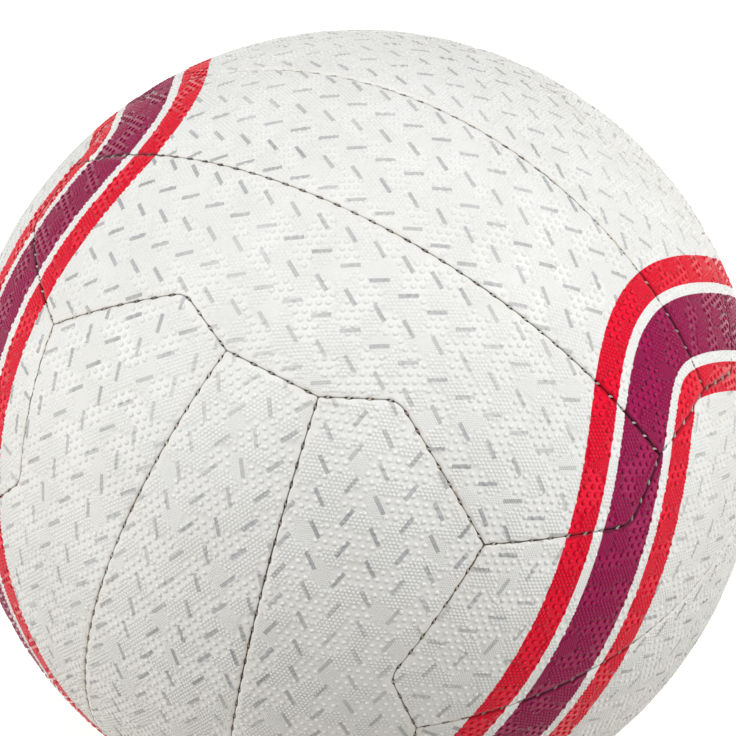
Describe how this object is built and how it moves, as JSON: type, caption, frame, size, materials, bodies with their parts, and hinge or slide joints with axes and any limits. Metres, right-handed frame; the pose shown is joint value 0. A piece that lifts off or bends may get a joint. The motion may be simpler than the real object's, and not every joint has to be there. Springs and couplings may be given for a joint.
{
  "type": "netball",
  "caption": "Inflated match netball of pimpled rubber strip panels on cloth linings, hand-stitched over a bladder with a needle valve.",
  "frame": {"origin": "centre of the ball", "axes": "+Z out of the top group of strips, +Y out of the valve, +X out of the right group"},
  "size_m": [0.2228, 0.2228, 0.2228],
  "materials": {
    "cover_rubber": "satin, pimpled",
    "lining_cloth": "woven laminate",
    "bladder_rubber": "smooth",
    "valve_rubber": "smooth",
    "stitching_thread": "waxed thread"
  },
  "bodies": {
    "root": {"bladder": "bladder_rubber", "cover_back_left": "cover_rubber", "cover_back_middle": "cover_rubber", "cover_back_right": "cover_rubber", "cover_bottom_back": "cover_rubber", "cover_bottom_front": "cover_rubber", "cover_bottom_middle": "cover_rubber", "cover_front_left": "cover_rubber", "cover_front_middle": "cover_rubber", "cover_front_right": "cover_rubber", "cover_left_lower": "cover_rubber", "cover_left_middle": "cover_rubber", "cover_left_upper": "cover_rubber", "cover_right_lower": "cover_rubber", "cover_right_middle": "cover_rubber", "cover_right_upper": "cover_rubber", "cover_top_back": "cover_rubber", "cover_top_front": "cover_rubber", "cover_top_middle": "cover_rubber", "lining_back_left": "lining_cloth", "lining_back_middle": "lining_cloth", "lining_back_right": "lining_cloth", "lining_bottom_back": "lining_cloth", "lining_bottom_front": "lining_cloth", "lining_bottom_middle": "lining_cloth", "lining_front_left": "lining_cloth", "lining_front_middle": "lining_cloth", "lining_front_right": "lining_cloth", "lining_left_lower": "lining_cloth", "lining_left_middle": "lining_cloth", "lining_left_upper": "lining_cloth", "lining_right_lower": "lining_cloth", "lining_right_middle": "lining_cloth", "lining_right_upper": "lining_cloth", "lining_top_back": "lining_cloth", "lining_top_front": "lining_cloth", "lining_top_middle": "lining_cloth", "stitching_back_bottom_end": "stitching_thread", "stitching_back_strips": "stitching_thread", "stitching_back_top_end": "stitching_thread", "stitching_bottom_left_end": "stitching_thread", "stitching_bottom_right_end": "stitching_thread", "stitching_bottom_strips": "stitching_thread", "stitching_front_bottom_end": "stitching_thread", "stitching_front_strips": "stitching_thread", "stitching_front_top_end": "stitching_thread", "stitching_left_back_end": "stitching_thread", "stitching_left_front_end": "stitching_thread", "stitching_left_strips": "stitching_thread", "stitching_right_back_end": "stitching_thread", "stitching_right_front_end": "stitching_thread", "stitching_right_strips": "stitching_thread", "stitching_top_left_end": "stitching_thread", "stitching_top_right_end": "stitching_thread", "stitching_top_strips": "stitching_thread", "valve_boot": "valve_rubber", "valve_core": "valve_rubber"}
  },
  "joints": []
}
